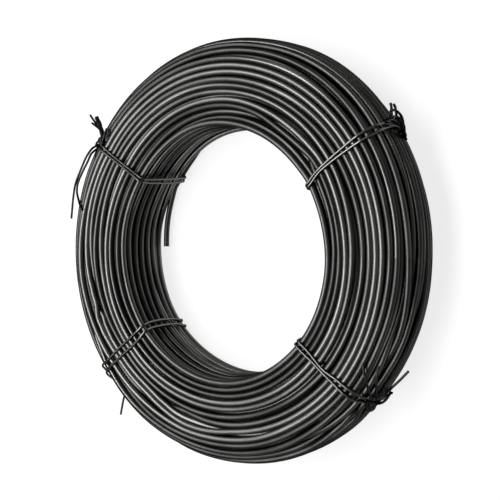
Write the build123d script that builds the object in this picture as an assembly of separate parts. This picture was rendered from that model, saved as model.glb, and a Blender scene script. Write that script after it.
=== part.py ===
from build123d import *
import os
from math import cos, degrees, radians, sin

os.makedirs("parts", exist_ok=True)

# The coil lies on one face with its axis along Z and its front face up, resting on the ties that
# cross its underside. The origin is on the floor under the coil's axis. Sizes are millimetres.

# Coil, as wound round a drum
bore_diameter = 131.0
winding_depth = 46.0
coil_width = 34.8
rim_flat_width = 5.2
bore_corner_radius = 3.5
wire_diameter = 3.15

# Turns that show: one lies in each corner of the bore, the ones between them on the bore wall have
# gaps, and round the faces and the rim they lie close. Grooves reach in past the turns' middles.
bore_turn_pitch = 5.1
turn_pitch = 3.6
groove_past_middles = 0.7

# Inner end of the wire: it leaves the turn in the bore's back corner, next to a tie, and hangs free.
# Its places have an angle round the coil and a distance from the bore wall into the eye.
end_start_angle = 146.5
end_middle_angle = 163.0
end_tip_angle = 179.0
end_middle_distance = 1.2
end_tip_distance = 4.4

# Ties: a thin wire, doubled, goes once round the coil and is twisted shut at the rim
tie_wire_diameter = 1.1
tie_wire_sides = 6
tie_clearance = 0.2
tie_strand_gap = 0.2
tie_corner_chords = 4
twist_pitch = 4.0
twist_steps_per_turn = 5
twist_overlap = 0.1

# Each tie has an angle round the coil, and its knot's angle over the rim's front corner, where 0
# is straight out and 90 is straight up. Stub tips and tails are places near that corner: an angle
# round the coil from the tie, a distance out from the rim and a drop from the front face.
ties = {
    "tie_upper_left": {
        "angle": 144.0,
        "knot_angle": 38.0,
        "stub_tip": (-3.8, 7.2, 7.4),
        "tails": [
            [(5.0, 1.2, 5.4), (11.0, 2.8, 4.9), (17.0, 1.8, 4.9), (26.5, 0.8, 5.4)],
            [(6.0, 0.2, 2.9), (12.0, -0.5, 0.9), (17.0, -4.5, -0.6), (22.5, -10.5, -0.8)],
        ],
    },
    "tie_upper_right": {
        "angle": 32.2,
        "knot_angle": 4.0,
        "stub_tip": (1.2, 7.4, 10.9),
        "tails": [
            [(-2.2, 3.6, 13.4), (-3.0, 5.6, 11.9), (-4.4, 5.2, 11.4), (-5.6, 3.0, 11.9)],
            [(1.2, 2.0, 17.6), (3.4, 1.8, 19.0), (5.4, 2.6, 18.6), (6.6, 4.4, 17.0)],
        ],
    },
    "tie_lower_left": {
        "angle": 221.0,
        "knot_angle": 34.0,
        "stub_tip": (-2.4, 4.6, 4.9),
        "tails": [
            [(4.0, 2.2, 8.4), (8.4, 1.8, 8.4), (11.3, 8.3, 7.4)],
        ],
    },
    "tie_lower_right": {
        "angle": 321.0,
        "knot_angle": 22.0,
        "stub_tip": (3.4, 4.6, 13.4),
        "tails": [
            [(2.2, 1.0, 1.9), (4.5, -1.0, -0.2), (7.4, -6.0, -0.8), (10.4, -10.6, -0.7)],
            [(2.6, 3.2, 4.4), (5.0, 1.8, 1.6), (8.0, -1.6, 0.2), (11.6, -4.2, 0.0)],
            [(2.8, 2.8, 13.4), (7.1, 3.8, 12.4), (12.4, 5.3, 12.4)],
        ],
    },
}

bore_radius = bore_diameter / 2
outer_radius = bore_radius + winding_depth
rim_corner_radius = (coil_width - rim_flat_width) / 2
tie_radius = tie_wire_diameter / 2
tie_offset = tie_clearance + tie_radius
tie_strand_spacing = tie_wire_diameter + tie_strand_gap
spacing_angle = degrees(tie_strand_spacing / 2 / bore_radius)
underside_height = tie_clearance + tie_wire_diameter
middle_height = underside_height + coil_width / 2
front_height = underside_height + coil_width


def place_on_coil(angle, out, height):
    """Point at an angle round the coil, a distance out from its axis and a height over the floor."""
    return Vector(out * cos(radians(angle)), out * sin(radians(angle)), height)


def radial_plane(angle):
    """Plane through the coil's axis at an angle round the coil: X is out and Y is up."""
    out = (cos(radians(angle)), sin(radians(angle)), 0)
    around = (sin(radians(angle)), -cos(radians(angle)), 0)
    return Plane(origin=(0, 0, middle_height), x_dir=out, z_dir=around)


def section_corners(offset=0):
    """Corner arcs of the coil's section, grown by an offset: centre, radius and first angle."""
    rim_out = outer_radius - rim_corner_radius
    rim_up = coil_width / 2 - rim_corner_radius
    bore_out = bore_radius + bore_corner_radius
    bore_up = coil_width / 2 - bore_corner_radius
    rim_radius = rim_corner_radius + offset
    bore_corner = bore_corner_radius + offset
    return [
        (Vector(rim_out, rim_up), rim_radius, 0),
        (Vector(bore_out, bore_up), bore_corner, 90),
        (Vector(bore_out, -bore_up), bore_corner, 180),
        (Vector(rim_out, -rim_up), rim_radius, 270),
    ]


def corner_place(centre, radius, angle):
    return centre + Vector(radius * cos(radians(angle)), radius * sin(radians(angle)))


def turn_middles():
    """Rounded line through the middles of the turns that show, X out from the axis and Y up."""
    inset = wire_diameter / 2
    half_width = coil_width / 2 - inset
    corners = [
        (outer_radius - inset, -half_width),
        (outer_radius - inset, half_width),
        (bore_radius + inset, half_width),
        (bore_radius + inset, -half_width),
    ]
    radii = [rim_corner_radius - inset] * 2 + [bore_corner_radius - inset] * 2
    return Wire(FilletPolyline(*corners, radius=radii, close=True).edges())


def bore_corner_turns():
    """Middles of the turns in the bore's front and back corners."""
    corners = section_corners(-wire_diameter / 2)[1:3]
    return [corner_place(centre, radius, first_angle + 45) for centre, radius, first_angle in corners]


def ridged_section():
    """Section with a ridge for each turn that shows: down the bore wall, then round the rest."""
    line = turn_middles()
    front, back = [line.param_at_point(place) for place in bore_corner_turns()]
    wall = (back - front) % 1
    wall_turns = round(wall * line.length / bore_turn_pitch)
    other_turns = round((1 - wall) * line.length / turn_pitch)
    shares = [(front + wall * turn / wall_turns) % 1 for turn in range(wall_turns)]
    shares += [(back + (1 - wall) * turn / other_turns) % 1 for turn in range(other_turns)]
    points = []
    for share, next_share in zip(shares, shares[1:] + shares[:1]):
        middle = line @ share
        next_middle = line @ next_share
        crest_way = (line % share).rotate(Axis.Z, -90)
        groove_way = (next_middle - middle).normalized().rotate(Axis.Z, 90)
        points.append(middle + crest_way * wire_diameter / 2)
        points.append((middle + next_middle) / 2 + groove_way * groove_past_middles)
    return make_face(Polyline(*points, close=True))


def free_end():
    """Inner end of the coil wire, bent away from the turn in the bore's back corner."""
    turn = bore_corner_turns()[1]
    height = middle_height + turn.Y
    start = place_on_coil(end_start_angle, turn.X, height)
    middle = place_on_coil(end_middle_angle, bore_radius - end_middle_distance, height)
    tip = place_on_coil(end_tip_angle, bore_radius - end_tip_distance, height)
    path = ThreePointArc(start, middle, tip)
    section = Plane(origin=path @ 0, z_dir=path % 0) * Circle(wire_diameter / 2)
    return sweep(section, path=path)


def wire_coil():
    """All the turns as one turned solid with its bore, and the free inner end."""
    ring = revolve(radial_plane(0) * ridged_section(), axis=Axis.Z)
    return ring + free_end()


def tie_wire(path):
    """Thin wire along a path, drawn with few sides."""
    polygon = RegularPolygon(tie_radius, tie_wire_sides, major_radius=False)
    section = Plane(origin=path @ 0, z_dir=path % 0) * polygon
    return sweep(section, path=path, transition=Transition.RIGHT)


def tie_loop(angle):
    """One strand of a tie round the coil, bent in short chords where it goes over the corners."""
    step = 90 / tie_corner_chords
    points = []
    for centre, radius, first_angle in section_corners(tie_offset):
        outside = radius / cos(radians(step / 2))
        points += [corner_place(centre, radius, first_angle)]
        for chord in range(tie_corner_chords):
            points += [corner_place(centre, outside, first_angle + (chord + 0.5) * step)]
        points += [corner_place(centre, radius, first_angle + 90)]
    return tie_wire(radial_plane(angle) * Polyline(*points, close=True))


def knot_start(angle, knot_angle):
    """Place on a tie's strand, over the front corner of the rim, where its knot begins."""
    centre, radius, first_angle = section_corners(tie_offset)[0]
    place = corner_place(centre, radius, first_angle + knot_angle)
    return place_on_coil(angle, place.X, middle_height + place.Y)


def twisted_stub(first, second, tip):
    """Two strands that leave the tie's loops and twist round each other up to the stub's tip."""
    base = (first + second) / 2
    direction = (tip - base).normalized()
    across = ((first - base) - direction * (first - base).dot(direction)).normalized()
    upright = direction.cross(across)
    steps = round((tip - base).length / twist_pitch * twist_steps_per_turn)
    radius = tie_radius - twist_overlap
    strands = []
    for start, phase in ((first, 0), (second, 180)):
        points = [start]
        for step in range(1, steps + 1):
            turn = radians(phase + 360 * step / twist_steps_per_turn)
            middle = base + (tip - base) * (step / steps)
            points.append(middle + across * radius * cos(turn) + upright * radius * sin(turn))
        strands.append(tie_wire(Polyline(*points)))
    return strands


def tie(angle, knot_angle, stub_tip, tails):
    """Doubled wire round the coil: two loops, a twisted stub and the free tails, as one piece."""

    def place(turned, out, drop):
        return place_on_coil(angle + turned, outer_radius + out, front_height - drop)

    loop_angles = [angle - spacing_angle, angle + spacing_angle]
    starts = [knot_start(loop_angle, knot_angle) for loop_angle in loop_angles]
    pieces = [tie_loop(loop_angle) for loop_angle in loop_angles]
    pieces += twisted_stub(*starts, place(*stub_tip))
    for count, tail in enumerate(tails):
        start = starts[(count + 1) % 2]
        pieces.append(tie_wire(Polyline(start, *[place(*stop) for stop in tail])))
    return pieces[0].fuse(*pieces[1:])


export_step(wire_coil(), "parts/wire_coil.step")
for name, sizes in ties.items():
    export_step(tie(**sizes), f"parts/{name}.step")
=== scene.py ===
import math
import bpy
import numpy as np
from mathutils import Matrix, Vector


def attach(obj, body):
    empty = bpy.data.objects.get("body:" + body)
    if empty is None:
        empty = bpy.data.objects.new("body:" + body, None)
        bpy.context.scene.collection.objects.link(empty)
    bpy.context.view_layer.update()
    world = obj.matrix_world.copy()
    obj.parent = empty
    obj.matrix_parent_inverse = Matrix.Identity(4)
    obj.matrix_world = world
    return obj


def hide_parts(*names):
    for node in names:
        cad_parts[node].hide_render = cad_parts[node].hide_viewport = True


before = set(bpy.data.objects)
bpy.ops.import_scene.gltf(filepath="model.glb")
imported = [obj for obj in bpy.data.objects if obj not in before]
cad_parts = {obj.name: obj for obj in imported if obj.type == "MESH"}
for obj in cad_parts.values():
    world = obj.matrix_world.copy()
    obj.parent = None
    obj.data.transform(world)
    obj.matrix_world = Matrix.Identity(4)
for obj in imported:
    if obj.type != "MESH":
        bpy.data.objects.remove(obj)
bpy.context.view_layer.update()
print("frame loaded", list(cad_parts))

mm = 0.001
tiny = 1e-6  # keeps a length of nothing out of divisions
sharpAngle = 40.0  # degrees between faces from which their edge is drawn sharp
middleHeight = 18.7  # millimetres from the floor to the middle of the coil's width

# the camera stands to the right of the coil's face, and the coil's own +Y is up in the picture
camera = {
    "coilMiddle": (233.593, 251.668),  # pixels from the picture's left and top
    "pictureWidth": 500.0,
    "focalPixels": 905.3,
    "sensorWidth": 36.0,
    "turnedRight": 36.97,  # degrees, like raised
    "raised": 2.418,
    "distance": 480.83,  # millimetres
}


def turnPair(first, second, angle):
    # two axes, turned in the plane that they span
    return (
        first * math.cos(angle) - second * math.sin(angle),
        second * math.cos(angle) + first * math.sin(angle),
    )


def makeCamera(p):
    turned, raised = math.radians(p["turnedRight"]), math.radians(p["raised"])
    level = math.cos(raised)
    back = Vector((math.sin(turned) * level, math.sin(raised), math.cos(turned) * level))
    right = Vector((math.cos(turned), 0, -math.sin(turned)))
    up = back.cross(right)
    aside = p["pictureWidth"] / 2 - p["coilMiddle"][0]
    above = p["coilMiddle"][1] - p["pictureWidth"] / 2
    ahead, right = turnPair(-back, right, -math.atan(aside / p["focalPixels"]))
    ahead, up = turnPair(ahead, up, -math.atan(above / p["focalPixels"]))
    data = bpy.data.cameras.new("camera")
    data.sensor_width = p["sensorWidth"]
    data.lens = p["focalPixels"] / p["pictureWidth"] * p["sensorWidth"]
    data.clip_start = 0.01
    item = bpy.data.objects.new("camera", data)
    bpy.context.scene.collection.objects.link(item)
    place = Matrix((right, up, -ahead)).transposed().to_4x4()
    place.translation = Vector((0, 0, middleHeight * mm)) + back * p["distance"] * mm
    item.matrix_world = place
    bpy.context.scene.camera = item


makeCamera(camera)

# where the ties cross the coil, in degrees from +X
tieAngles = {
    "tieUpperRight": 31.0,
    "tieUpperLeft": 144.0,
    "tieLowerLeft": 221.0,
    "tieLowerRight": 321.0,
}

# the wound wire: sizes in millimetres, places in the section from the middle of the coil's width
coil = {
    "boreRadius": 65.5,
    "rimRadius": 111.5,
    "halfWidth": 17.4,
    "middleHeight": middleHeight,
    "boreCorner": 3.5,
    "rimCorner": 14.8,
    "wireDiameter": 3.15,
    # one turn lies in each corner of the bore; the rest have a pitch on the bore wall and another
    # round the faces and the rim, where the pieces end at these distances along the outline
    "boreTurnPitch": 5.1,
    "turnPitch": 3.6,
    "frontFaceEnd": 60.0,
    "rimEnd": 103.5,
    "hiddenLayers": [31, 25, 20, 15, 9],
    "layerDepth": 2.85,
    "spotScatter": 0.2,  # how far a hidden turn strays along its layer, in pitches
    # how far turns wander: shown ones along the outline, hidden ones along it and in depth
    "wander": 0.6,
    "hiddenWander": 0.7,
    "depthWander": 0.25,
    # packing: stations round each turn and rounds; the pull of a shown and of a hidden turn's own
    # place, which fades to nothing at a share of the rounds; how much turns are smoothed; and, in
    # wire diameters, how far apart they are kept and from what distance two count as neighbours
    "seed": 11,
    "stations": 120,
    "rounds": 260,
    "pull": (0.10, 0.02),
    "pullFades": 0.8,
    "smoothing": 0.12,
    "keptApart": 1.002,
    "neighbours": 1.8,
    "neighbourRounds": 20,
    # the ties press the turns in: millimetres, degrees to each side and down to which height
    "pinch": 0.55,
    "pinchSpread": 5.0,
    "pinchAbove": -8.0,
    # where the rim and the bore are fuller than round: angle, spread and millimetres
    "rimBulges": [(359.0, 8.0, -0.35), (269.0, 9.0, -0.12), (23.0, 10.0, 1.5), (51.0, 12.0, 2.6),
                  (126.0, 14.0, -1.2), (163.0, 16.0, -1.2), (234.0, 12.0, 1.3), (310.0, 12.0, -0.4),
                  (327.0, 8.0, -0.9)],
    "boreBulges": [(20.0, 10.0, 0.9), (56.0, 22.0, 1.3), (118.0, 10.0, 0.5), (142.0, 13.0, 3.7),
                   (190.0, 14.0, 1.2), (240.0, 17.0, 1.6), (305.0, 15.0, 0.9)],
    # stretches where a shown turn sinks under its neighbours or a hidden one comes up, as shares
    # of the same depths in the layer below the shown turns and in the deeper ones
    "dipTries": 2,
    "dipShare": 0.5,
    "dipDepth": (0.6, 1.9),
    "dipSpread": (16.0, 34.0),
    "riseShares": (0.4, 0.1),
    "sinkReach": 3.0,  # depth below the skin at which a sinking turn's way is measured
    # turns that lie deeper where the photo has fewer of them: number, angle, spread and millimetres
    "sunken": [(12, 212.0, 22.0, 2.4), (15, 204.0, 24.0, 2.4), (18, 210.0, 26.0, 2.4)],
    # gaps between turns: angle, spread, distance along the outline and millimetres to each side
    "partings": [(74.0, 26.0, 68.0, 1.7), (38.0, 12.0, 66.5, 1.3), (8.0, 16.0, 46.0, 1.2),
                 (352.0, 10.0, 61.0, 0.9), (285.0, 22.0, 63.0, 0.9), (205.0, 18.0, 56.0, 1.0),
                 (175.0, 14.0, 44.0, 0.8)],
    "partingEdge": 1.2,  # within this distance the turns give way less
    "partingReach": 6.0,  # and over this one it fades
    # each turn has a mark between 0 and 1, from blacker to paler; the rim's turns get a painted shade,
    # their marks scaled down to blacker
    "markSeed": 5,
    "rimPaintedShadeScale": 0.2,
    # turns rubbed bright: the turn's number, angle, spread and strength
    "rubbed": [(11, 105.0, 13.0, 1.0), (15, 64.0, 9.0, 0.8), (12, 58.0, 8.0, 0.6),
               (14, 300.0, 5.0, 0.6), (9, 340.0, 7.0, 0.5)],
    # stations and sides of the turns that show, of the layer below them and of the others
    "shownDetail": (240, 14),
    "secondDetail": (200, 12),
    "innerDetail": (120, 8),
}


def outlineRuns(p, inset, least=0.05):
    # the section's rounded outline as runs of straight and arc, moved inwards
    width, boreOut, rimOut = p["halfWidth"], p["boreRadius"], p["rimRadius"]
    boreCorner, rimCorner = p["boreCorner"], p["rimCorner"]
    bore, rim = max(boreCorner - inset, least), max(rimCorner - inset, least)
    boreIn = max(boreCorner, inset + least)
    boreAt, rimAt = boreOut + boreIn, rimOut - rimCorner
    boreUp, rimUp = width - boreIn, width - rimCorner
    return [
        ("line", (boreAt - bore, -boreUp), (boreAt - bore, boreUp)),
        ("arc", (boreAt, boreUp), bore, 180.0, 90.0),
        ("line", (boreAt, boreUp + bore), (rimAt, boreUp + bore)),
        ("arc", (rimAt, rimUp), rim, 90.0, 0.0),
        ("line", (rimAt + rim, rimUp), (rimAt + rim, -rimUp)),
        ("arc", (rimAt, -rimUp), rim, 0.0, -90.0),
        ("line", (rimAt, -boreUp - bore), (boreAt, -boreUp - bore)),
        ("arc", (boreAt, -boreUp), bore, -90.0, -180.0),
    ]


def outlineTable(p, inset, step=0.05):
    # distances along the outline, the places at them and the outline's whole length
    places = []
    for run in outlineRuns(p, inset):
        if run[0] == "line":
            start, end = np.array(run[1]), np.array(run[2])
            length = np.linalg.norm(end - start)
            share = np.arange(0, 1, step / max(length, step))[:, None]
            places.append(start + (end - start) * share)
        else:
            length = run[2] * math.pi / 2
            turned = np.radians(run[3] - 90 * np.arange(0, 1, step / max(length, step)))
            places.append(np.array(run[1]) + run[2] * np.stack([np.cos(turned), np.sin(turned)], 1))
    places = np.concatenate(places)
    gaps = np.linalg.norm(np.roll(places, -1, 0) - places, axis=1)
    along = np.concatenate([[0], np.cumsum(gaps)])
    return along[:-1], places, along[-1]


def placeAlong(table, along):
    # outline places for distances along it, going round as often as needed
    starts, places, length = table
    at = np.mod(along, length)
    closed = np.concatenate([places, places[:1]])
    ends = np.append(starts, length)
    return np.stack([np.interp(at, ends, closed[:, 0]), np.interp(at, ends, closed[:, 1])], -1)


def waves(rng, count, stations, size, highest, fade=0.6):
    # smooth endless noise round the coil, one row for each turn
    angles = np.arange(stations) / stations * 2 * math.pi
    total = np.zeros((count, stations))
    for order in range(1, highest + 1):
        heights = rng.normal(0, size / order ** fade, (count, 1))
        phases = rng.uniform(0, 2 * math.pi, (count, 1))
        total += heights * np.cos(order * angles + phases)
    return total


def bump(angles, middle, spread):
    # 1 at an angle round the coil, fading to 0 on both sides
    away = (angles - middle + 180) % 360 - 180
    return np.exp(-0.5 * (away / spread) ** 2)


def windingDepth(p):
    # middle and half of the winding's depth, out from the axis
    return (p["boreRadius"] + p["rimRadius"]) / 2, (p["rimRadius"] - p["boreRadius"]) / 2


def shaped(p, places, angles, undo=False):
    # carries wire centres from the round ring to the real one, or back
    mid, half = windingDepth(p)
    rim = 1 + sum(size * bump(angles, at, spread) for at, spread, size in p["rimBulges"]) / half
    bore = 1 + sum(size * bump(angles, at, spread) for at, spread, size in p["boreBulges"]) / half
    scale = np.where(places[..., 0] > mid, rim, bore)
    if undo:
        scale = 1 / scale
    return np.stack([mid + (places[..., 0] - mid) * scale, places[..., 1]], -1)


def keepInside(p, places, angles, pinch):
    # moves wire centres that stand out of the section's outline back onto it
    mid, half = windingDepth(p)
    places = shaped(p, places, angles, True)
    out = places[..., 0] - mid
    up = places[..., 1]
    corner = np.where(out > 0, p["rimCorner"], p["boreCorner"])
    fromSide = np.abs(out) - (half - corner)
    fromEnd = np.abs(up) - (p["halfWidth"] - corner)
    both = (fromSide > 0) & (fromEnd > 0)
    reach = np.hypot(np.maximum(fromSide, 0), np.maximum(fromEnd, 0))
    past = np.where(both, reach, np.maximum(fromSide, fromEnd)) - corner
    over = np.maximum(past + p["wireDiameter"] / 2 + pinch * (up > p["pinchAbove"]), 0)
    away = np.maximum(reach, tiny)
    sideShare = np.where(both, fromSide / away, (fromSide >= fromEnd) * 1.0)
    endShare = np.where(both, fromEnd / away, (fromSide < fromEnd) * 1.0)
    out = out - np.sign(out) * sideShare * over
    up = up - np.sign(up) * endShare * over
    return shaped(p, np.stack([out + mid, up], -1), angles)


def dips(p, rng, count, angles):
    # how far each turn sinks below its place, in up to two stretches round the coil
    total = np.zeros((count, len(angles)))
    for row in total:
        for attempt in range(p["dipTries"]):
            if rng.random() < p["dipShare"]:
                at, spread = rng.uniform(0, 360), rng.uniform(*p["dipSpread"])
                row += rng.uniform(*p["dipDepth"]) * bump(angles, at, spread)
    return total


def pushApart(places, first, second, gap):
    # moves the two of each pair that are too close apart, each by half of what is missing
    between = places[second] - places[first]
    away = np.linalg.norm(between, axis=-1, keepdims=True)
    short = np.maximum(gap - away, 0) / np.maximum(away, tiny) * between * 0.5
    np.add.at(places, second, short)
    np.add.at(places, first, -short)


def parted(p, along, angles):
    # makes the gaps, by moving the turns on both sides along the outline
    for angle, spread, at, size in p["partings"]:
        away = along - at
        aside = size * np.tanh(away / p["partingEdge"]) * np.exp(-np.abs(away) / p["partingReach"])
        along = along + aside * bump(angles, angle, spread)
    return along


def shownTurns(p):
    # distances along the outline, from the turn in the bore's back corner to the front corner and on
    length = outlineTable(p, p["wireDiameter"] / 2)[2]
    wall = 2 * (p["halfWidth"] - p["boreCorner"])
    corner = math.pi / 4 * (p["boreCorner"] - p["wireDiameter"] / 2)
    wallCount = round((wall + 2 * corner) / p["boreTurnPitch"])
    restCount = round((length - wall - 2 * corner) / p["turnPitch"])
    onWall = np.linspace(-corner, wall + corner, wallCount, endpoint=False)
    onRest = np.linspace(wall + corner, length - corner, restCount, endpoint=False)
    return np.concatenate([onWall, onRest])


# the inner end, cut square, hangs in the eye. It comes out of the bore's back corner beside a tie,
# where the turns next to it make room, and on the other side of the tie it dives under them. It
# goes from its tip to where it ends by angles round the coil
freeEnd = {
    "tip": 179.0,
    "leavesAt": 147.0,
    "tipFromTurn": 6.3,
    "divesFrom": 130.0,
    "endsAt": 92.0,
    "diveDepth": 6.5,
    "diveRise": 0.7,  # how far it also rises in the section, as a share of the depth
    "makesRoom": [3.2, 1.4, 0.4],  # millimetres along the outline, for the first turns
    "calm": 0.3,  # share of their wander that those turns keep
    "roomFrom": 100.0,
    "roomTo": 160.0,
    "roomSpread": 4.5,
    "segments": 60,
    "sides": 16,
    "mark": 0.05,
}


def roomAt(end, angles):
    # 1 where the turns make room for the end, fading to 0 on both sides
    rise = 1 / (1 + np.exp(-(angles - end["roomFrom"]) / end["roomSpread"]))
    fall = 1 / (1 + np.exp((angles - end["roomTo"]) / end["roomSpread"]))
    return rise * fall


def smoothStep(share):
    share = np.clip(share, 0, 1)
    return share * share * (3 - 2 * share)


def aroundAxis(p, out, up, turned):
    # wire centres in metres, from distances off the axis, heights in the section and angles
    return np.stack([out * np.cos(turned), out * np.sin(turned), up + p["middleHeight"]], 1) * mm


def freeEndTube(p, end):
    angles = np.linspace(end["tip"], end["endsAt"], end["segments"])
    corner = shownTurns(p)[:1] + 0 * angles
    centres = shaped(p, placeAlong(outlineTable(p, p["wireDiameter"] / 2), corner), angles)
    hanging = (angles - end["leavesAt"]) / (end["tip"] - end["leavesAt"])
    lift = 1 - (1 - np.clip(hanging, 0, 1)) ** 2
    dive = smoothStep((end["divesFrom"] - angles) / (end["divesFrom"] - end["endsAt"]))
    out = centres[:, 0] - end["tipFromTurn"] * lift + end["diveDepth"] * dive
    up = centres[:, 1] + end["diveRise"] * end["diveDepth"] * dive
    line = aroundAxis(p, out, up, np.radians(angles))
    return tubeRings(line[::-1], end["sides"], p["wireDiameter"] / 2 * mm, False), False, end["mark"], 0.0


def shownHomes(p, rng, angles):
    # own places of the turns that show: on the outline, and below it where they sink
    radius = p["wireDiameter"] / 2
    shown = shownTurns(p)
    along = shown[:, None] + waves(rng, len(shown), p["stations"], p["wander"], highest=5)
    for turn, size in enumerate(freeEnd["makesRoom"]):
        kept = (along[turn] - shown[turn]) * freeEnd["calm"]
        along[turn] = shown[turn] + kept + size * roomAt(freeEnd, angles)
    along = parted(p, along, angles)
    atSkin = placeAlong(outlineTable(p, radius), along)
    below = placeAlong(outlineTable(p, radius + p["sinkReach"]), along)
    sunk = dips(p, rng, len(shown), angles)
    for turn, at, spread, size in p["sunken"]:
        sunk[turn] += size * bump(angles, at, spread)
    sunk[0] = 0  # the turn that the free end leaves stays up
    return atSkin + (below - atSkin) * sunk[..., None] / p["sinkReach"]


def hiddenHomes(p, rng, angles, layer):
    # own places of one hidden layer's turns, which come up in stretches
    radius, count, stations = p["wireDiameter"] / 2, p["hiddenLayers"][layer], p["stations"]
    table = outlineTable(p, radius + (layer + 1) * p["layerDepth"])
    scatter = rng.uniform(-p["spotScatter"], p["spotScatter"], count)
    halfPitches = 0.5 * layer  # each layer starts half a pitch further on
    spots = (np.arange(count) + scatter + halfPitches) * table[2] / count
    along = spots[:, None] + waves(rng, count, stations, p["hiddenWander"], highest=5)
    above = placeAlong(outlineTable(p, radius + layer * p["layerDepth"]), along)
    own = placeAlong(table, along) + waves(rng, count, stations, p["depthWander"], highest=4)[..., None]
    raised = dips(p, rng, count, angles)[..., None] * p["riseShares"][min(layer, 1)]
    return own + (above - own) * raised


def packTurns(p):
    # every turn keeps near its own place in the section, wanders and lies on its neighbours
    rng = np.random.default_rng(p["seed"])
    angles = np.arange(p["stations"]) * 360.0 / p["stations"]
    homes = [shownHomes(p, rng, angles)]
    skin = len(homes[0])
    for layer in range(len(p["hiddenLayers"])):
        homes.append(hiddenHomes(p, rng, angles, layer))
    homes = shaped(p, np.concatenate(homes), angles)
    pinch = p["pinch"] * sum(bump(angles, at, p["pinchSpread"]) for at in tieAngles.values())
    pull = np.where(np.arange(len(homes)) < skin, *p["pull"])[:, None, None]
    places = homes.copy()
    for step in range(p["rounds"]):
        if step % p["neighbourRounds"] == 0:
            first, second = np.triu_indices(len(places), 1)
            nearest = np.linalg.norm(places[second] - places[first], axis=-1).min(axis=1)
            near = nearest < p["wireDiameter"] * p["neighbours"]
            first, second = first[near], second[near]
        ease = max(0.0, 1 - step / (p["rounds"] * p["pullFades"]))
        places += pull * ease * (homes - places)
        places += p["smoothing"] * (np.roll(places, 1, 1) + np.roll(places, -1, 1) - 2 * places)
        pushApart(places, first, second, p["wireDiameter"] * p["keptApart"])
        places = keepInside(p, places, angles, pinch)
    closest = np.linalg.norm(places[second] - places[first], axis=-1).min()
    print("turns packed", len(places), "closest centres", round(float(closest), 3))
    return places, skin


def finer(rows, count):
    # the same endless curve with more stations
    spectrum = np.fft.rfft(rows, axis=1)
    return np.fft.irfft(spectrum, n=count, axis=1) * count / rows.shape[1]


def tubeRings(centres, sides, radius, closed):
    # rings of points round a path that runs round the coil's axis
    if closed:
        heading = np.roll(centres, -1, 0) - np.roll(centres, 1, 0)
    else:
        heading = np.gradient(centres, axis=0)
    heading /= np.linalg.norm(heading, axis=1, keepdims=True)
    up = np.array([0.0, 0.0, 1.0])
    side = np.cross(heading, up)
    side /= np.linalg.norm(side, axis=1, keepdims=True)
    top = np.cross(side, heading)
    turned = np.arange(sides) / sides * 2 * math.pi
    ring = side[:, None] * np.cos(turned)[None, :, None] + top[:, None] * np.sin(turned)[None, :, None]
    return centres[:, None] + ring * radius


def flowPlaces(rings, rows):
    # texture places of the faces of a tube: metres along the wire, and once round it from 0 to 1
    sides = rings.shape[1]
    lengths = np.linalg.norm(np.roll(rings[:, 0], -1, 0) - rings[:, 0], axis=1)
    start = np.concatenate([[0], np.cumsum(lengths)])
    around = np.arange(sides + 1) / sides
    places = np.empty((len(rows), sides, 4, 2))
    places[:, :, [0, 3], 0] = start[rows, None, None]
    places[:, :, [1, 2], 0] = start[rows + 1, None, None]
    places[:, :, [0, 1], 1] = around[:-1, None]
    places[:, :, [2, 3], 1] = around[1:, None]
    return places[:, :, ::-1].reshape(-1, 2)


def meshFromTubes(name, tubes):
    # one mesh from many tubes: each is its rings, whether it closes on itself, its own mark and
    # where it is rubbed bright
    verts, faces, flow, marks, rubs = [], [], [], [], []
    base = 0
    for rings, closed, mark, rub in tubes:
        count, sides = rings.shape[:2]
        verts.append(rings.reshape(-1, 3))
        here = np.arange(count * sides).reshape(count, sides) + base
        rows = np.arange(count if closed else count - 1)
        a, b = here[rows], here[(rows + 1) % count]
        quads = np.stack([a, b, np.roll(b, -1, 1), np.roll(a, -1, 1)], -1).reshape(-1, 4)
        faces.extend(quads[:, ::-1].tolist())
        flow.append(flowPlaces(rings, rows))
        if not closed:
            faces.append(here[0].tolist())
            faces.append(here[-1][::-1].tolist())
            flow.append(np.zeros((sides * 2, 2)))
        marks.append(np.full(count * sides, mark))
        rubs.append(np.repeat(np.zeros(count) + rub, sides))
        base += count * sides
    data = bpy.data.meshes.new(name)
    data.from_pydata(np.concatenate(verts).tolist(), [], faces)
    layer = data.uv_layers.new(name="flow")
    layer.data.foreach_set("uv", np.concatenate(flow).ravel())
    for label, values in (("turnMark", marks), ("rubbed", rubs)):
        attribute = data.attributes.new(label, "FLOAT", "POINT")
        attribute.data.foreach_set("value", np.concatenate(values))
    data.update()
    item = bpy.data.objects.new(name, data)
    bpy.context.scene.collection.objects.link(item)
    bpy.ops.object.select_all(action="DESELECT")
    item.select_set(True)
    bpy.context.view_layer.objects.active = item
    bpy.ops.object.shade_smooth_by_angle(angle=math.radians(sharpAngle))
    return item


def turnTube(p, row, detail, mark, rub=0.0):
    segments, sides = detail
    row = finer(row[None], segments)[0] if segments != len(row) else row
    turned = np.arange(segments) / segments * 2 * math.pi
    centres = aroundAxis(p, row[:, 0], row[:, 1], turned)
    return tubeRings(centres, sides, p["wireDiameter"] / 2 * mm, True), True, mark, rub


packed, skinCount = packTurns(coil)


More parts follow.
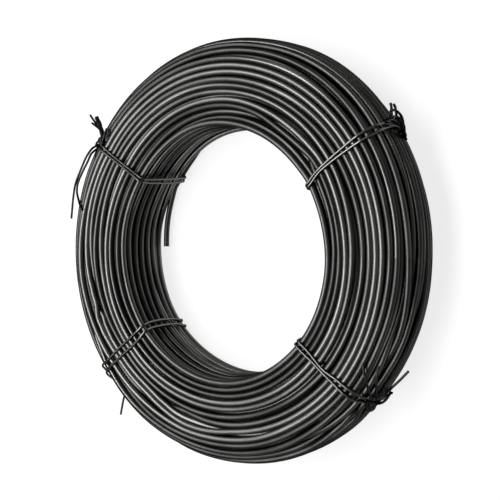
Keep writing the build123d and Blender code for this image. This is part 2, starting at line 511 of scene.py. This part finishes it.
def windWire(p):
    # the turns that show in four pieces, by where they lie, and the hidden ones in two
    marks = np.random.default_rng(p["markSeed"]).uniform(0, 1, len(packed))
    names = ["boreTurns", "frontTurns", "rimTurns", "backTurns"]
    ends = [2 * (p["halfWidth"] - p["boreCorner"]), p["frontFaceEnd"], p["rimEnd"]]
    counts = np.bincount(np.searchsorted(ends, shownTurns(p)))
    around = np.arange(p["shownDetail"][0]) * 360.0 / p["shownDetail"][0]
    rubs = np.zeros((skinCount, len(around)))
    for turn, at, spread, size in p["rubbed"]:
        rubs[turn] += size * bump(around, at, spread)
    pieces, first = [], 0
    for name, count in zip(names, counts):
        # painted shade: the rim's turns have their marks scaled down, which darkens them
        paintedShadeScale = p["rimPaintedShadeScale"] if name == "rimTurns" else 1
        tubes = []
        for turn in range(first, first + count):
            tubes.append(turnTube(p, packed[turn], p["shownDetail"], marks[turn] * paintedShadeScale, rubs[turn]))
        if first == 0:
            tubes.append(freeEndTube(p, freeEnd))
        pieces.append(meshFromTubes(name, tubes))
        first += count
    innerFrom = skinCount + p["hiddenLayers"][0]
    hidden = [
        ("secondLayerTurns", range(skinCount, innerFrom), p["secondDetail"]),
        ("innerTurns", range(innerFrom, len(packed)), p["innerDetail"]),
    ]
    for name, turns, detail in hidden:
        tubes = [turnTube(p, packed[turn], detail, marks[turn]) for turn in turns]
        pieces.append(meshFromTubes(name, tubes))
    return pieces


coilPieces = windWire(coil)
print("wire wound", [(piece.name, len(piece.data.polygons)) for piece in coilPieces])

# black annealed wire: a dark satin oxide with drawn streaks, patches of scale and worn lines
annealed = {
    "dark": (0.042, 0.0425, 0.041, 1),
    "light": (0.172, 0.174, 0.167, 1),
    "worn": (0.38, 0.375, 0.36, 1),
    "wornFrom": 0.64,
    "roughness": (0.33, 0.47),
    "edgeTint": (0.08, 0.08, 0.08, 1),
    "bump": 0.16,
}


def socketGroup(name, inputs, outputs):
    group = bpy.data.node_groups.new(name, "ShaderNodeTree")
    for label, kind, value in inputs:
        socket = group.interface.new_socket(name=label, in_out="INPUT", socket_type=kind)
        socket.default_value = value
    for label, kind in outputs:
        group.interface.new_socket(name=label, in_out="OUTPUT", socket_type=kind)
    return group, group.nodes.new("NodeGroupInput"), group.nodes.new("NodeGroupOutput")


def feed(tree, socket, value):
    # an input takes either another node's output or a plain value
    if isinstance(value, bpy.types.NodeSocket):
        tree.links.new(value, socket)
    else:
        socket.default_value = value


def addNode(tree, kind, inputs, **settings):
    node = tree.nodes.new(kind)
    for label, value in settings.items():
        setattr(node, label, value)
    for label, value in inputs.items():
        feed(tree, node.inputs[label], value)
    return node


def addMath(tree, operation, *values):
    return addNode(tree, "ShaderNodeMath", dict(enumerate(values)), operation=operation).outputs[0]


def makeDrawnSteel():
    # streaks along the wire, patches of scale, worn lines and a shade of its own for each turn
    group, given, put = socketGroup(
        "drawnSteel",
        [
            ("Streak Length", "NodeSocketFloat", 90.0),
            ("Streak Count", "NodeSocketFloat", 15.0),
            ("Patch Scale", "NodeSocketFloat", 40.0),
            ("Worn From", "NodeSocketFloat", 0.63),
        ],
        [(label, "NodeSocketFloat") for label in ("Shade", "Rough", "Worn", "Height")],
    )
    flow = addNode(group, "ShaderNodeUVMap", {}, uv_map="flow")
    apart = addNode(group, "ShaderNodeSeparateXYZ", {0: flow.outputs["UV"]})
    turn = addNode(group, "ShaderNodeAttribute", {}, attribute_name="turnMark").outputs["Fac"]
    rubbed = addNode(group, "ShaderNodeAttribute", {}, attribute_name="rubbed").outputs["Fac"]

    # a place along and round the wire, of which every turn has its own slice of noise
    along = addMath(group, "MULTIPLY", apart.outputs["X"], given.outputs["Streak Length"])
    around = addMath(group, "MULTIPLY", apart.outputs["Y"], 2 * math.pi)
    across = []
    for operation in ("COSINE", "SINE"):
        wave = addMath(group, operation, around)
        across.append(addMath(group, "MULTIPLY", wave, given.outputs["Streak Count"]))
    place = addNode(group, "ShaderNodeCombineXYZ", {0: along, 1: across[0], 2: across[1]}).outputs[0]
    turnSlice = addMath(group, "MULTIPLY", turn, 500.0)
    streaks = addNode(
        group, "ShaderNodeTexNoise", {"Vector": place, "W": turnSlice, "Scale": 0.18, "Detail": 3.0},
        noise_dimensions="4D").outputs["Fac"]
    patches = addNode(
        group, "ShaderNodeTexNoise",
        {
            "Vector": addNode(group, "ShaderNodeTexCoord", {}).outputs["Object"],
            "Scale": given.outputs["Patch Scale"],
            "Detail": 5.0,
            "Roughness": 0.6,
        }).outputs["Fac"]
    mix = addNode(group, "ShaderNodeMix", {"Factor": 0.36, "A": streaks, "B": patches}).outputs["Result"]

    # the shade of the oxide, darker or paler from turn to turn
    turnShade = addNode(group, "ShaderNodeMapRange", {"Value": turn, "To Min": -0.22, "To Max": 0.22})
    total = addMath(group, "ADD", mix, turnShade.outputs["Result"])
    shade = addNode(group, "ShaderNodeMapRange", {"Value": total, "From Min": 0.25, "From Max": 0.75})

    # long worn lines, and the streaks of the turns that are rubbed bright
    stretched = addNode(
        group, "ShaderNodeVectorMath", {0: place, 1: (0.06, 0.32, 0.32)}, operation="MULTIPLY")
    wear = addNode(
        group, "ShaderNodeTexNoise",
        {"Vector": stretched.outputs[0], "W": turnSlice, "Scale": 0.7, "Detail": 2.0},
        noise_dimensions="4D")
    lines = addNode(
        group, "ShaderNodeMapRange",
        {"Value": wear.outputs["Fac"], "From Min": given.outputs["Worn From"], "From Max": 0.75},
        interpolation_type="SMOOTHSTEP")
    broken = addNode(group, "ShaderNodeMapRange", {"Value": streaks, "From Min": 0.35, "From Max": 0.6})
    rubbedLines = addMath(group, "MULTIPLY", rubbed, broken.outputs["Result"])
    worn = addMath(group, "MAXIMUM", lines.outputs["Result"], rubbedLines)

    feed(group, put.inputs["Shade"], shade.outputs["Result"])
    feed(group, put.inputs["Worn"], worn)
    feed(group, put.inputs["Rough"], mix)
    feed(group, put.inputs["Height"], streaks)
    return group


drawnSteel = makeDrawnSteel()
bumpHeight = 0.0001  # metres between the top and the bottom of the streaks


def makeWireMaterial(name, p):
    material = bpy.data.materials.new(name)
    material.use_nodes = True
    tree = material.node_tree
    shader = tree.nodes["Principled BSDF"]
    shader.inputs["Metallic"].default_value = 1.0
    shader.inputs["Specular Tint"].default_value = p["edgeTint"]
    steel = addNode(tree, "ShaderNodeGroup", {"Worn From": p["wornFrom"]}, node_tree=drawnSteel)
    oxide = addNode(
        tree, "ShaderNodeMix", {"Factor": steel.outputs["Shade"], "A": p["dark"], "B": p["light"]},
        data_type="RGBA")
    colour = addNode(
        tree, "ShaderNodeMix",
        {"Factor": steel.outputs["Worn"], "A": oxide.outputs["Result"], "B": p["worn"]},
        data_type="RGBA")
    smoothest, roughest = p["roughness"]
    rough = addNode(
        tree, "ShaderNodeMapRange",
        {"Value": steel.outputs["Rough"], "To Min": smoothest, "To Max": roughest})
    relief = addNode(
        tree, "ShaderNodeBump",
        {"Height": steel.outputs["Height"], "Strength": p["bump"], "Distance": bumpHeight})
    feed(tree, shader.inputs["Base Color"], colour.outputs["Result"])
    feed(tree, shader.inputs["Roughness"], rough.outputs["Result"])
    feed(tree, shader.inputs["Normal"], relief.outputs["Normal"])
    return material


wireMaterial = makeWireMaterial("annealedWire", annealed)
for piece in coilPieces:
    piece.data.materials.append(wireMaterial)
    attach(piece, "root")
    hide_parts("wire_coil")

# ties: a thin wire, doubled, that goes once round the coil. Each strand has its sideways place,
# in millimetres towards a larger angle, and its lift off the turns at distances along the
# section's outline: 0 is the back end of the bore wall, 29 the bore's front edge, 58 where the
# rim's corner starts, 79 the rim, 105 the back face. Loose wires and ropes of twisted wires are
# places beside the rim as (sideways, out from the rim, down from the face)
tieWire = {
    "radius": 0.64,
    "lift": 0.01,  # how far it lies off the turns
    "sides": 12,
    "loopPoints": 260,
    "outline": 136.0,  # the whole length of the outline that the strands' distances are on
    "reachAside": 8.0,  # how far to each side of the tie the turns below a strand are looked up
    "lookedUp": 9,  # and at how many places
    "meanRadius": 90.0,
    "facingStep": 4.0,  # degrees between the points of a taut loop
    "smoothings": 16,
    "step": 0.5,  # millimetres between the points of a loose wire
    # marks of the wires, from 0 for blacker to 1 for paler
    "strandMark": 0.8,
    "ropeMark": 0.3,
    "looseMark": 0.45,
}

ties = {
    "tieUpperLeft": {
        "node": "tie_upper_left",
        "strands": [
            [(0, -6.0, 2.2), (10, -4.8, 1.8), (22, -3.5, 1.1), (29, -2.5, 0.7), (36, -1.5, 0.1),
             (50, -0.3, 0), (60, -0.1, 0), (66, 0.2, 0.4), (75, 0.4, 0.3), (84, 0.5, 0), (110, -1.5, 0),
             (127, -4.0, 0), (131.5, -4.8, 0)],
            [(0, -3.9, 2.4), (8, -2.1, 1.9), (21, -1.1, 1.1), (29, -0.5, 0.7), (36, 0.2, 0.1),
             (50, 1.4, 0), (58, 2.2, 0), (65, 3.4, 0.8), (75, 3.0, 0.3), (84, 2.6, 0), (110, 0.8, 0),
             (127, -1.9, 0), (131.5, -2.7, 0)],
        ],
        "ropes": [
            {"path": [(-1.4, -12.4, 0.2), (-5.2, -9.6, 0.4), (-6.8, -4.0, 2.4), (-7.9, 0.6, 3.6),
                      (-8.4, 4.6, 4.4)],
             "wires": 4, "radius": 0.74, "pitch": 26.0},
        ],
        "loose": [
            [(-6.4, -1.9, 2.6), (-5.9, 3.9, 3.8), (-6.3, 10.1, 5.0)],
            [(-5.9, -3.6, 2.4), (-5.4, 0.9, 3.0), (-4.4, 4.8, 3.6)],
            [(-2.0, -11.6, 0.0), (-6.4, -10.8, -0.2), (-10.6, -9.4, 0.0), (-12.2, -10.6, -0.2),
             (-10.0, -12.6, -0.4), (-6.4, -12.8, -0.4)],
            [(0.7, -9.9, 0.1), (6.1, -4.2, 3.2), (10.0, -1.7, 4.6), (14.8, -0.3, 4.8), (19.4, 0.1, 4.8),
             (24.3, 0.4, 4.6), (28.5, 0.9, 4.4), (32.9, 1.4, 4.4), (37.1, 1.2, 4.6), (42.5, 1.0, 4.8),
             (52.9, 0.4, 5.0)],
            [(1.4, -11.5, -0.3), (4.8, -9.4, 0.2), (10.8, -3.6, 4.2), (14.3, -2.6, 5.2),
             (18.2, -2.0, 5.4), (21.7, -1.4, 5.2), (25.3, -0.6, 5.4), (29.0, 0.2, 5.4),
             (32.9, 0.6, 5.4), (37.2, -0.6, 5.2), (40.5, -4.5, 4.0), (42.4, -9.6, 0.6),
             (44.6, -13.2, -0.3)],
        ],
    },
    "tieUpperRight": {
        "node": "tie_upper_right",
        "strands": [
            [(0, -0.2, 0), (24, -0.4, 0), (28, 0.0, 0), (31, 1.2, 0), (34.6, 2.3, 0), (40, 3.1, 0),
             (47, 3.8, 0), (56, 4.5, 0), (62, 4.8, 0), (67, 5.1, 0), (72.6, 5.1, 0), (76, 4.6, 0.3),
             (80, 3.6, 0.4), (88, 2.0, 0), (104, 0.6, 0)],
            [(0, -1.4, 0), (24, -1.6, 0), (29, -1.2, 0), (32.7, 0.2, 0), (35, 1.0, 0), (38, 1.6, 0),
             (46, 2.0, 0), (53, 2.0, 0), (60, 1.8, 0), (66, 1.8, 0), (71.5, 2.4, 0), (75, 2.8, 0.4),
             (79, 2.6, 0.6), (88, 0.2, 0), (104, -0.8, 0)],
        ],
        "ropes": [
            {"path": [(5.6, 0.4, 10.0), (4.2, 3.6, 8.8), (1.9, 6.0, 9.6), (0.2, 5.6, 12.4),
                      (-1.2, 3.8, 16.0), (-2.2, 1.8, 19.4)],
             "wires": 2, "radius": 0.6, "pitch": 9.0},
        ],
        # painted shade: this knot's loose wires and rope take the blackest mark
        "looseMark": 0.0,
        "loose": [
            [(4.6, -0.4, 9.6), (3.2, 2.6, 9.2), (2.0, 4.6, 9.6), (0.6, 5.4, 11.6), (-0.6, 4.4, 14.6),
             (-1.6, 2.4, 18.0), (-2.3, 0.9, 21.0), (-3.0, 0.6, 22.8)],
            [(5.4, 0.6, 9.4), (4.2, 4.4, 8.4), (2.2, 7.0, 9.4), (0.6, 6.8, 12.6), (-0.6, 5.0, 15.6),
             (-1.6, 2.6, 18.6), (-1.4, 1.0, 20.6), (-1.1, 0.6, 22.4)],
            [(6.2, 1.0, 10.4), (5.2, 5.2, 9.0), (3.4, 7.8, 9.2), (0.8, 6.4, 12.6), (-0.6, 4.6, 15.2),
             (-1.2, 2.2, 18.2), (-1.3, 1.0, 20.0)],
            [(3.4, 0.2, 9.6), (5.6, 2.4, 10.6), (7.6, 4.2, 10.8), (8.3, 5.8, 10.4), (7.1, 7.6, 10.0),
             (5.2, 8.4, 10.2), (3.4, 8.2, 11.6), (1.9, 7.0, 13.2), (0.6, 5.3, 15.4), (0.2, 2.6, 17.6),
             (0.6, 0.6, 19.4)],
            [(4.2, 2.6, 9.6), (6.2, 5.0, 10.6), (8.2, 5.6, 10.8), (8.9, 7.0, 10.0), (10.9, 7.6, 10.2)],
            [(2.4, 4.6, 10.6), (4.4, 7.0, 9.6), (7.0, 8.3, 9.4), (8.2, 8.6, 10.0), (9.5, 8.5, 10.4)],
        ],
    },
    "tieLowerLeft": {
        "node": "tie_lower_left",
        "strands": [
            [(0, -1.6, 0), (5, -2.7, 0), (15, -3.4, 0), (23, -3.0, 0), (29.4, -1.4, 0), (34, -1.5, 0),
             (41.6, -2.0, 0), (49, -2.6, 0), (57.6, -2.6, 0), (63, -3.4, 0.2), (68, -4.6, 0.4),
             (71, -4.2, 0.5), (74.5, -1.8, 0.4), (79, 0.8, 0.2), (86, 1.8, 0), (110, 0, 0)],
            [(0, 2.6, 0), (5, 0.8, 0), (13.7, 0.4, 0), (22, 0.5, 0), (28.3, 1.7, 0), (31, 2.5, 0),
             (35.5, 2.7, 0), (43, 2.4, 0), (52, 1.6, 0), (58, 1.3, 0), (64, 0.6, 0.2), (69, 0.4, 0.4),
             (72.5, 1.0, 0.6), (76, 3.6, 0.5), (80, 5.6, 0.2), (88, 5.4, 0), (110, 1.8, 0)],
        ],
        "ropes": [
            {"path": [(-1.8, 0.7, 17.0), (-0.6, 1.9, 19.2), (1.4, 2.7, 21.6), (3.4, 3.3, 23.6)],
             "wires": 2, "radius": 0.52, "pitch": 5.0},
        ],
        "loose": [
            [(2.4, 2.9, 22.6), (4.4, 5.4, 24.0), (7.6, 9.8, 24.2), (10.4, 14.6, 23.6),
             (12.2, 18.0, 23.4), (14.3, 22.2, 23.2)],
        ],
    },
    "tieLowerRight": {
        "node": "tie_lower_right",
        "strands": [
            [(0, 0.6, 0), (20, 0.2, 0), (28.6, 0.1, 0), (34.6, 0.8, 0), (41, 0.1, 0), (46.3, -0.4, 0),
             (50, 0.4, 0), (53.4, 1.3, 0), (58.5, 1.9, 0), (63, 2.3, 0), (67.7, 2.0, 0.3),
             (73, 2.4, 0.8), (79, 3.8, 1.6), (85, 4.6, 1.4), (92, 3.2, 0.4), (104, 1.4, 0)],
            [(0, -2.0, 0), (20, -2.2, 0), (29.5, -2.2, 0), (35.5, -1.9, 0), (41, -1.5, 0),
             (47.3, -1.6, 0), (56, -1.2, 0), (63.4, -1.4, 0), (66.6, -1.5, 0), (70.5, -0.2, 0.2),
             (76, 1.4, 0.6), (82, 2.4, 0.6), (92, 1.2, 0), (104, -0.2, 0)],
        ],
        "ropes": [],
        "loose": [
            [(2.0, -1.0, 6.6), (3.2, -0.1, 8.0), (4.2, -0.4, 6.0), (7.5, -2.1, 3.3), (11.0, -4.7, 1.2),
             (14.1, -7.1, 0.1), (16.8, -9.4, -0.3), (19.2, -11.1, -0.3)],
            [(0.8, 0.9, 12.9), (3.9, 1.0, 9.6), (8.3, 0.0, 6.2), (12.3, -1.5, 3.9), (16.6, -3.2, 2.5),
             (20.3, -4.1, 2.2), (22.1, -4.8, 2.4)],
            [(0.9, 1.0, 12.3), (4.6, 1.5, 11.4), (7.5, 1.7, 11.4), (9.7, 1.7, 12.8), (11.3, 1.6, 14.6),
             (13.9, 2.1, 15.2), (17.2, 2.9, 15.8), (22.7, 4.2, 16.4)],
            [(2.8, -1.6, 5.2), (0.6, -1.2, 6.6), (-2.0, -0.2, 8.6), (-3.1, 0.9, 10.8),
             (-1.4, 1.7, 11.4), (0.9, 1.5, 10.9), (2.9, 0.7, 9.0), (3.4, -0.4, 6.8)],
            [(3.0, -0.8, 6.4), (0.8, 0.3, 7.2), (-0.9, 1.2, 9.2), (0.5, 1.9, 9.8), (2.5, 1.3, 8.5),
             (3.4, 0.2, 7.0)],
            [(2.1, 0.7, 9.8), (3.4, 2.6, 11.0), (5.1, 2.9, 14.0), (6.4, 2.0, 17.0), (6.6, 0.8, 20.0),
             (5.6, 0.4, 24.0)],
        ],
    },
}


def sectionAt(p, angle):
    # wire centres of every turn where a tie crosses the coil
    at = (angle % 360) / 360 * packed.shape[1]
    low = int(at) % packed.shape[1]
    share = at - int(at)
    return packed[:, low] * (1 - share) + packed[:, (low + 1) % packed.shape[1]] * share


def tautLoop(centres, reach, count):
    # a strand pulled tight round wires of one size: arcs over the outer wires and straight between
    turned = np.radians(np.arange(0, 360, tieWire["facingStep"]))
    facing = np.stack([np.cos(turned), np.sin(turned)], 1)
    hit = np.argmax(facing @ centres.T, axis=1)
    places = centres[hit] + facing * reach
    closed = np.concatenate([places, places[:1]])
    along = np.concatenate([[0], np.cumsum(np.linalg.norm(np.diff(closed, axis=0), axis=1))])
    stops = np.linspace(0, along[-1], count, endpoint=False)
    return np.stack([np.interp(stops, along, closed[:, 0]), np.interp(stops, along, closed[:, 1])], 1)


def alongOutline(p, loop, every=4):
    # distances along the section's outline of the points of a loop over it
    starts, places, length = outlineTable(p, 0)
    away = np.linalg.norm(loop[:, None] - places[None, ::every], axis=-1)
    return starts[np.argmin(away, axis=1) * every] * tieWire["outline"] / length


def strandPath(p, angle, stops):
    # a strand's line: tight over the turns, moved sideways and lifted where it stands off them
    shifts = np.linspace(-tieWire["reachAside"], tieWire["reachAside"], tieWire["lookedUp"])
    reach = p["wireDiameter"] / 2 + tieWire["radius"] + tieWire["lift"]
    count = tieWire["loopPoints"]
    loops = []
    for shift in shifts:
        beside = angle + math.degrees(shift / tieWire["meanRadius"])
        loops.append(tautLoop(sectionAt(p, beside), reach, count))
    loops = np.array(loops)
    along = alongOutline(p, loops[len(shifts) // 2])
    stops = stops + [(tieWire["outline"], *stops[0][1:])]
    keys, sideways, lifts = zip(*stops)
    across = np.interp(along, keys, sideways)
    raised = np.interp(along, keys, lifts)
    for smoothing in range(tieWire["smoothings"]):
        across = (np.roll(across, 1) + np.roll(across, -1) + 2 * across) / 4
        raised = (np.roll(raised, 1) + np.roll(raised, -1) + 2 * raised) / 4
    # the strand lies between two of the loops, so its last place stays short of the last loop
    place = np.clip((across - shifts[0]) / (shifts[1] - shifts[0]), 0, len(shifts) - 1.001)
    low, share, each = place.astype(int), (place % 1)[:, None], np.arange(count)
    loop = loops[low, each] * (1 - share) + loops[low + 1, each] * share
    heading = np.roll(loop, -2, 0) - np.roll(loop, 2, 0)
    outward = np.stack([heading[:, 1], -heading[:, 0]], 1)
    loop = loop + outward / np.linalg.norm(outward, axis=1, keepdims=True) * raised[:, None]
    out = np.array([math.cos(math.radians(angle)), math.sin(math.radians(angle)), 0])
    around = np.array([-out[1], out[0], 0])
    up = np.array([0, 0, 1.0])
    return loop[:, :1] * out + across[:, None] * around + (loop[:, 1:] + p["middleHeight"]) * up


def besideRim(p, angle, place):
    sideways, out, drop = place
    turned = math.radians(angle) + sideways / p["rimRadius"]
    reach = p["rimRadius"] + out
    height = p["middleHeight"] + p["halfWidth"] - drop
    return np.array([reach * math.cos(turned), reach * math.sin(turned), height])


def smoothPath(points):
    # a wire's line through its places, from a curve with no thickness
    data = bpy.data.curves.new("line", "CURVE")
    data.dimensions = "3D"
    spline = data.splines.new("NURBS")
    spline.points.add(len(points) - 1)
    for point, place in zip(spline.points, points):
        point.co = (*place, 1)
    spline.order_u = 3
    spline.use_endpoint_u = True
    spline.resolution_u = 6
    item = bpy.data.objects.new("line", data)
    mesh = bpy.data.meshes.new_from_object(item)
    line = np.array([vertex.co[:] for vertex in mesh.vertices])
    bpy.data.objects.remove(item)
    bpy.data.curves.remove(data)
    bpy.data.meshes.remove(mesh)
    return line


def rope(line, wires, radius, pitch):
    # wires laid round a line, all turning the same way, from a side that the line doesn't run along
    heading = np.gradient(line, axis=0)
    heading /= np.linalg.norm(heading, axis=1, keepdims=True)
    side = np.cross(heading, [0.3, 0.2, 1.0])
    side /= np.linalg.norm(side, axis=1, keepdims=True)
    other = np.cross(heading, side)
    steps = np.linalg.norm(np.diff(line, axis=0), axis=1)
    along = np.concatenate([[0], np.cumsum(steps)])
    paths = []
    for wire in range(wires):
        turned = (along / pitch + wire / wires)[:, None] * 2 * math.pi
        paths.append(line + radius * (side * np.cos(turned) + other * np.sin(turned)))
    return paths


def evenly(line, step):
    # the same line with its points at even steps
    steps = np.linalg.norm(np.diff(line, axis=0), axis=1)
    along = np.concatenate([[0], np.cumsum(steps)])
    stops = np.linspace(0, along[-1], max(int(along[-1] / step), 4) + 1)
    return np.stack([np.interp(stops, along, line[:, axis]) for axis in range(3)], 1)


def freeRings(line, sides, radius, closed):
    # rings round any path, carried along it without twisting; what a closed one slips is shared out
    if closed:
        heading = np.roll(line, -1, 0) - np.roll(line, 1, 0)
    else:
        heading = np.gradient(line, axis=0)
    heading /= np.linalg.norm(heading, axis=1, keepdims=True)
    side = np.cross(heading[0], [0.2, 0.3, 1.0])
    turned = np.arange(sides) / sides * 2 * math.pi
    rings = []
    sidesAlong = []
    for direction in heading:
        side = side - direction * np.dot(side, direction)
        side = side / np.linalg.norm(side)
        sidesAlong.append(side)
    sidesAlong = np.array(sidesAlong)
    if closed:
        last, first = sidesAlong[-1], sidesAlong[0]
        last = last - heading[0] * np.dot(last, heading[0])
        slip = math.atan2(np.dot(np.cross(first, last), heading[0]), np.dot(first, last))
    else:
        slip = 0.0
    for index, (direction, side) in enumerate(zip(heading, sidesAlong)):
        other = np.cross(direction, side)
        around = turned - slip * index / len(line)
        spokes = side * np.cos(around)[:, None] + other * np.sin(around)[:, None]
        rings.append(line[index] + radius * spokes)
    return np.array(rings)


def looseLine(angle, places):
    # a smooth line through places beside the rim
    return evenly(smoothPath([besideRim(coil, angle, place) for place in places]), tieWire["step"])


def tieTube(line, closed, mark):
    rings = freeRings(line, tieWire["sides"], tieWire["radius"], closed)
    return rings[:, ::-1] * mm, closed, mark, 0.0


def makeTie(name, p):
    angle = tieAngles[name]
    ropeMark = p.get("looseMark", tieWire["ropeMark"])
    looseMark = p.get("looseMark", tieWire["looseMark"])
    tubes = []
    for stops in p["strands"]:
        tubes.append(tieTube(strandPath(coil, angle, stops), True, tieWire["strandMark"]))
    for item in p["ropes"]:
        middle = looseLine(angle, item["path"])
        for line in rope(middle, item["wires"], item["radius"], item["pitch"]):
            tubes.append(tieTube(line, False, ropeMark))
    for places in p["loose"]:
        tubes.append(tieTube(looseLine(angle, places), False, looseMark))
    return meshFromTubes(name, tubes)


# the ties are smoother, with weaker streaks
blackTie = {
    "dark": (0.040, 0.040, 0.039, 1),
    "light": (0.175, 0.175, 0.170, 1),
    "worn": (0.45, 0.45, 0.44, 1),
    "wornFrom": 0.65,
    "roughness": (0.27, 0.38),
    "edgeTint": (0.05, 0.05, 0.05, 1),
    "bump": 0.06,
}
# their knots, ropes and loose ends get a painted shade: a nearly black copy of the tie's material
paintedShadeTie = {
    "dark": (0.010, 0.010, 0.010, 1),
    "light": (0.060, 0.060, 0.058, 1),
    "worn": (0.22, 0.22, 0.21, 1),
    "wornFrom": 0.68,
    "roughness": (0.28, 0.42),
    "edgeTint": (0.03, 0.03, 0.03, 1),
    "bump": 0.06,
}
tieMaterial = makeWireMaterial("tieWire", blackTie)
paintedShadeTieMaterial = makeWireMaterial("paintedShadeTieWire", paintedShadeTie)
for name, values in ties.items():
    piece = makeTie(name, values)
    piece.data.materials.append(tieMaterial)
    piece.data.materials.append(paintedShadeTieMaterial)
    # the knots, ropes and loose ends take the nearly black material, a painted shade
    strandFaces = len(values["strands"]) * tieWire["loopPoints"] * tieWire["sides"]
    for face in piece.data.polygons[strandFaces:]:
        face.material_index = 1
    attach(piece, "root")
    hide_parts(values["node"])
print("ties made")

# studio: a pale floor, white where it is seen past the coil, two soft lamps to the left of the
# camera, of which the long low one draws the lines on the turns, and even light all round
studio = {
    "floorSize": 40.0,
    "floorColour": (0.22, 0.22, 0.22, 1),
    "floorRoughness": 0.9,
    "floorSpecular": 0.1,
    "floorLift": 0.81,
    "white": (1, 1, 1, 1),
    "world": 0.14,
    "lampsAimAt": (0, 0, 0.02),
    "lamps": {
        "mainLamp": {"from": (-0.40, 0.38, 0.84), "distance": 1.3, "size": (0.95, 1.2), "radiance": 1.2},
        "lowLamp": {"from": (-0.27, -0.06, 0.96), "distance": 1.3, "size": (1.7, 0.6), "radiance": 7.3},
    },
}


def addLamp(name, p, aim):
    data = bpy.data.lights.new(name, "AREA")
    data.shape = "RECTANGLE"
    data.size, data.size_y = p["size"]
    data.energy = p["radiance"] * math.pi * p["size"][0] * p["size"][1]
    item = bpy.data.objects.new(name, data)
    bpy.context.scene.collection.objects.link(item)
    away = Vector(p["from"]).normalized()
    item.location = away * p["distance"] + Vector(aim)
    item.rotation_euler = away.to_track_quat("Z", "Y").to_euler()


def makeFloor(p):
    # its lift to white is for the camera and for mirrored rays, and lights nothing else
    bpy.ops.object.select_all(action="DESELECT")
    bpy.ops.mesh.primitive_plane_add(size=p["floorSize"], location=(0, 0, 0))
    floor = bpy.context.object
    floor.name = "floor"
    material = bpy.data.materials.new("paleFloor")
    material.use_nodes = True
    tree = material.node_tree
    shader = tree.nodes["Principled BSDF"]
    shader.inputs["Base Color"].default_value = p["floorColour"]
    shader.inputs["Roughness"].default_value = p["floorRoughness"]
    shader.inputs["Specular IOR Level"].default_value = p["floorSpecular"]
    shader.inputs["Emission Color"].default_value = p["white"]
    rays = tree.nodes.new("ShaderNodeLightPath").outputs
    seen = addMath(tree, "MAXIMUM", rays["Is Camera Ray"], rays["Is Glossy Ray"])
    seen = addMath(tree, "MAXIMUM", seen, rays["Is Transmission Ray"])
    feed(tree, shader.inputs["Emission Strength"], addMath(tree, "MULTIPLY", seen, p["floorLift"]))
    floor.data.materials.append(material)


def makeStudio(p):
    makeFloor(p)
    for name, values in p["lamps"].items():
        addLamp(name, values, p["lampsAimAt"])
    world = bpy.data.worlds.new("world")
    bpy.context.scene.world = world
    world.use_nodes = True
    background = world.node_tree.nodes["Background"]
    background.inputs["Color"].default_value = p["white"]
    background.inputs["Strength"].default_value = p["world"]


makeStudio(studio)
bpy.context.scene.view_settings.view_transform = "Standard"
print("studio ready")
